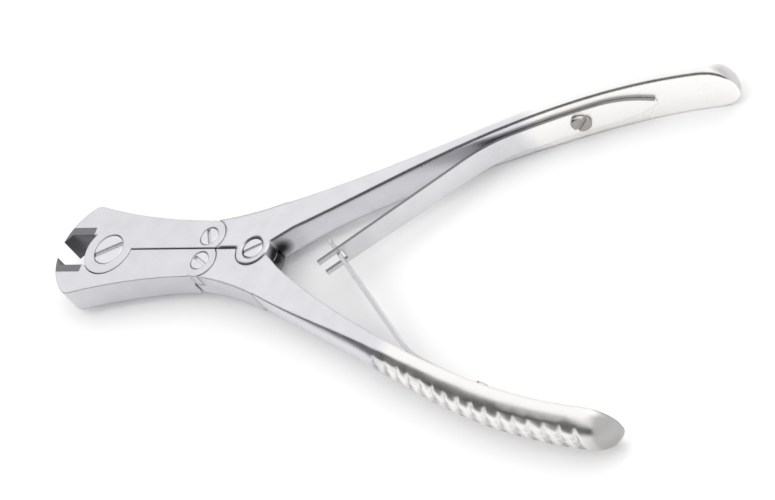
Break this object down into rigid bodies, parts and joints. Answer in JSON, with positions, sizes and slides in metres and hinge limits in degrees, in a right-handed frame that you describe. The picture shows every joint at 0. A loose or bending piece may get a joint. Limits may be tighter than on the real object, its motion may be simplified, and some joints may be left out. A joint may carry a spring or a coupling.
{
  "type": "pin cutter",
  "caption": "Double action surgical pin cutter with hard cutting inserts, linked jaws and handles, and crossed leaf springs.",
  "frame": {"origin": "on the surface that the grips stand on, at the middle of the length and of the width", "axes": "+X from the jaws towards the ends of the handles, +Y towards the upper handle, +Z out of the face with the screw heads"},
  "size_m": [0.2282, 0.1292, 0.0164],
  "materials": {
    "body_steel": "satin",
    "insert_carbide": "matt ground",
    "spring_steel": "satin",
    "screw_steel": "polished"
  },
  "bodies": {
    "lower_jaw": {"lower_jaw": "body_steel", "lower_jaw_insert": "insert_carbide", "jaw_pivot_screw": "screw_steel"},
    "upper_jaw": {"upper_jaw": "body_steel", "upper_jaw_insert": "insert_carbide"},
    "lower_handle": {"lower_handle": "body_steel", "lower_link_screw": "screw_steel", "handle_pivot_screw": "screw_steel", "lower_spring_screw": "screw_steel"},
    "upper_handle": {"upper_handle": "body_steel", "upper_link_screw": "screw_steel", "upper_spring_screw": "screw_steel"},
    "lower_spring": {"lower_leaf_spring": "spring_steel"},
    "upper_spring": {"upper_leaf_spring": "spring_steel"}
  },
  "joints": [
    {"name": "jaw_pivot", "type": "hinge", "parent": "lower_jaw", "child": "upper_jaw", "pos_m": [-0.09441, 0, 0.00821], "axis": [0, 0, 1], "range_deg": [0, 16.3], "stiffness_Nm_per_rad": 6, "springref_deg": -5.73},
    {"name": "lower_link", "type": "hinge", "parent": "lower_jaw", "child": "lower_handle", "pos_m": [-0.05581, -0.00447, 0.00821], "axis": [0, 0, 1], "range_deg": [0, 26]},
    {"name": "upper_link", "type": "hinge", "parent": "upper_jaw", "child": "upper_handle", "pos_m": [-0.05581, 0.00447, 0.00821], "axis": [0, 0, 1], "range_deg": [-26, 0]},
    {"name": "lower_leaf_bend", "type": "hinge", "parent": "lower_handle", "child": "lower_spring", "pos_m": [0.02875, -0.03168, 0.00821], "axis": [0, 0, 1], "range_deg": [0, 12], "deforming": ["lower_leaf_spring"]},
    {"name": "upper_leaf_bend", "type": "hinge", "parent": "upper_handle", "child": "upper_spring", "pos_m": [0.02875, 0.03168, 0.00821], "axis": [0, 0, 1], "range_deg": [-12, 0], "deforming": ["upper_leaf_spring"]}
  ],
  "couplings": [
    {"joint": "lower_link", "follows": "jaw_pivot", "ratio": 1.5545},
    {"joint": "upper_link", "follows": "jaw_pivot", "ratio": -1.5545},
    {"joint": "lower_leaf_bend", "follows": "jaw_pivot", "ratio": 0.68},
    {"joint": "upper_leaf_bend", "follows": "jaw_pivot", "ratio": -0.68}
  ]
}
